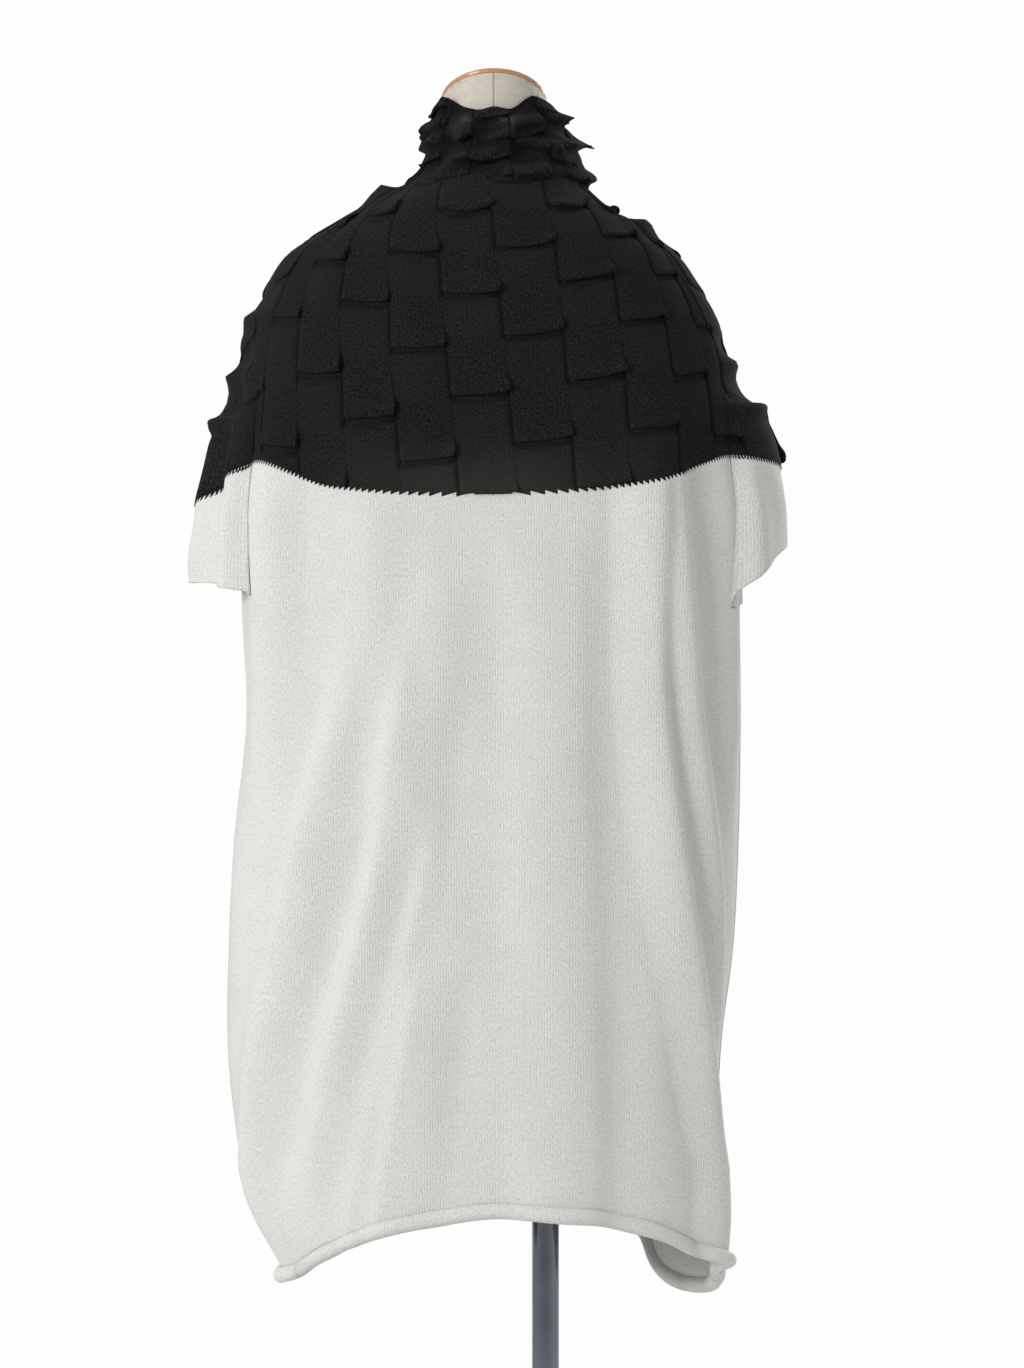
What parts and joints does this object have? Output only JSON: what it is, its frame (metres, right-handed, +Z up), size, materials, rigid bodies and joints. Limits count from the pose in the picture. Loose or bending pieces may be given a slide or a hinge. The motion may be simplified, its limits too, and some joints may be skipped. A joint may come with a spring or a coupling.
{
  "type": "knit tunic on dress form",
  "caption": "Boxy knit tunic with a black raised-block yoke, ruffled high collar, short drop sleeves and white body, worn by a limbless linen dress form on a pole stand.",
  "frame": {"origin": "middle of the stand's round base, on the floor", "axes": "+Z up along the pole, +Y towards the tunic's front, +X to the right as seen from behind the tunic"},
  "size_m": [0.5798, 0.38, 1.5425],
  "materials": {
    "black_knit": "matt cotton knit in raised blocks",
    "white_knit": "matt fine jersey knit",
    "linen": "plain linen weave over padding",
    "wood": "satin lacquer",
    "chrome": "polished"
  },
  "bodies": {
    "root": {"back_yoke": "black_knit", "front_yoke": "black_knit", "collar": "black_knit", "back_body": "white_knit", "front_body": "white_knit", "back_hem": "white_knit", "front_hem": "white_knit", "left_sleeve": "white_knit", "right_sleeve": "white_knit", "form_torso": "linen", "neck_cap": "wood", "form_flange": "chrome", "pole": "chrome", "base_plate": "chrome"}
  },
  "joints": []
}
